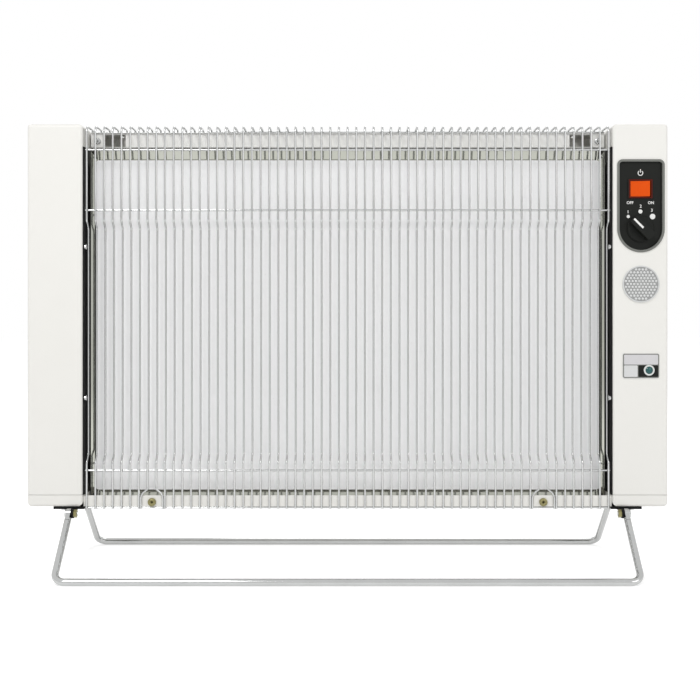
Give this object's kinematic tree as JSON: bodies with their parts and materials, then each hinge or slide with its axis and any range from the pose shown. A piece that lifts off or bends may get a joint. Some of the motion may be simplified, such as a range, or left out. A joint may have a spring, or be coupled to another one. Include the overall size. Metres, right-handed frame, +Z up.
{
  "type": "ceramic panel heater",
  "caption": "Free-standing electric panel heater with a ceramic panel behind a chrome wire guard, side casings with controls, and folding wire stands.",
  "frame": {"origin": "on the floor, under the middle of the heater with its stands folded out", "axes": "+X to the right seen from the front, +Y from the front to the back, +Z up"},
  "size_m": [0.82, 0.261, 0.571],
  "materials": {
    "white_paint": "semi-gloss",
    "grey_paint": "semi-gloss",
    "black_paint": "semi-gloss",
    "mirror": "polished",
    "glazed_panel": "gloss",
    "element": "satin",
    "mica": "satin",
    "insulation": "matte",
    "ceramic": "matte",
    "chrome": "polished",
    "zinc": "satin",
    "rim": "satin",
    "black_plastic": "satin",
    "orange_lens": "gloss",
    "white_mark": "satin",
    "badge": "satin",
    "teal_lens": "gloss"
  },
  "bodies": {
    "heater": {"left_casing": "white_paint", "right_casing": "white_paint", "left_base_cap": "white_paint", "right_base_cap": "white_paint", "left_side_plate": "black_paint", "right_side_plate": "black_paint", "lower_rail": "white_paint", "top_rail": "grey_paint", "rear_cover": "white_paint", "mirror_tray": "mirror", "left_tray_stay": "grey_paint", "right_tray_stay": "grey_paint", "ceramic_panel": "glazed_panel", "heating_element": "element", "mica_sheet": "mica", "insulation_board": "insulation", "panel_spacers": "ceramic", "element_studs": "zinc", "stud_bushings": "ceramic", "left_guard_wires": "chrome", "middle_guard_wires": "chrome", "right_guard_wires": "chrome", "guard_cross_wires": "chrome", "left_guard_screw": "zinc", "right_guard_screw": "zinc", "left_leg_bracket": "black_paint", "right_leg_bracket": "black_paint", "front_left_bolt": "chrome", "front_right_bolt": "chrome", "rear_left_bolt": "chrome", "rear_right_bolt": "chrome", "front_left_nut": "zinc", "front_right_nut": "zinc", "rear_left_nut": "zinc", "rear_right_nut": "zinc", "control_bezel": "rim", "control_plate": "black_plastic", "rocker_housing": "black_plastic", "selector_switch": "black_plastic", "round_badge": "badge", "label_plate": "badge", "pilot_ring": "chrome", "pilot_lens": "teal_lens", "pilot_lamp": "black_plastic", "cord_inlet": "black_plastic", "terminal_block": "ceramic", "thermal_cutout": "badge", "tip_over_switch": "black_plastic", "side_plate_screws": "chrome", "top_rail_screws": "chrome", "rear_cover_screws": "chrome", "bracket_screws": "chrome"},
    "front_stand": {"front_stand": "chrome"},
    "rear_stand": {"rear_stand": "chrome"},
    "rocker": {"rocker_button": "orange_lens"},
    "selector": {"selector_knob": "black_plastic", "knob_pointer": "white_mark", "selector_shaft": "chrome"}
  },
  "joints": [
    {"name": "front_stand_fold", "type": "hinge", "parent": "heater", "child": "front_stand", "pos_m": [0, -0.046, 0.0735], "axis": [-1, 0, 0], "range_deg": [0, 130]},
    {"name": "rear_stand_fold", "type": "hinge", "parent": "heater", "child": "rear_stand", "pos_m": [0, 0.046, 0.0735], "axis": [1, 0, 0], "range_deg": [0, 130]},
    {"name": "power_rocker", "type": "hinge", "parent": "heater", "child": "rocker", "pos_m": [0.375, -0.0315, 0.488], "axis": [0, 0, 1], "range_deg": [0, 16]},
    {"name": "heat_selector", "type": "hinge", "parent": "heater", "child": "selector", "pos_m": [0.375, -0.038, 0.437], "axis": [0, 1, 0], "range_deg": [0, 90]}
  ]
}
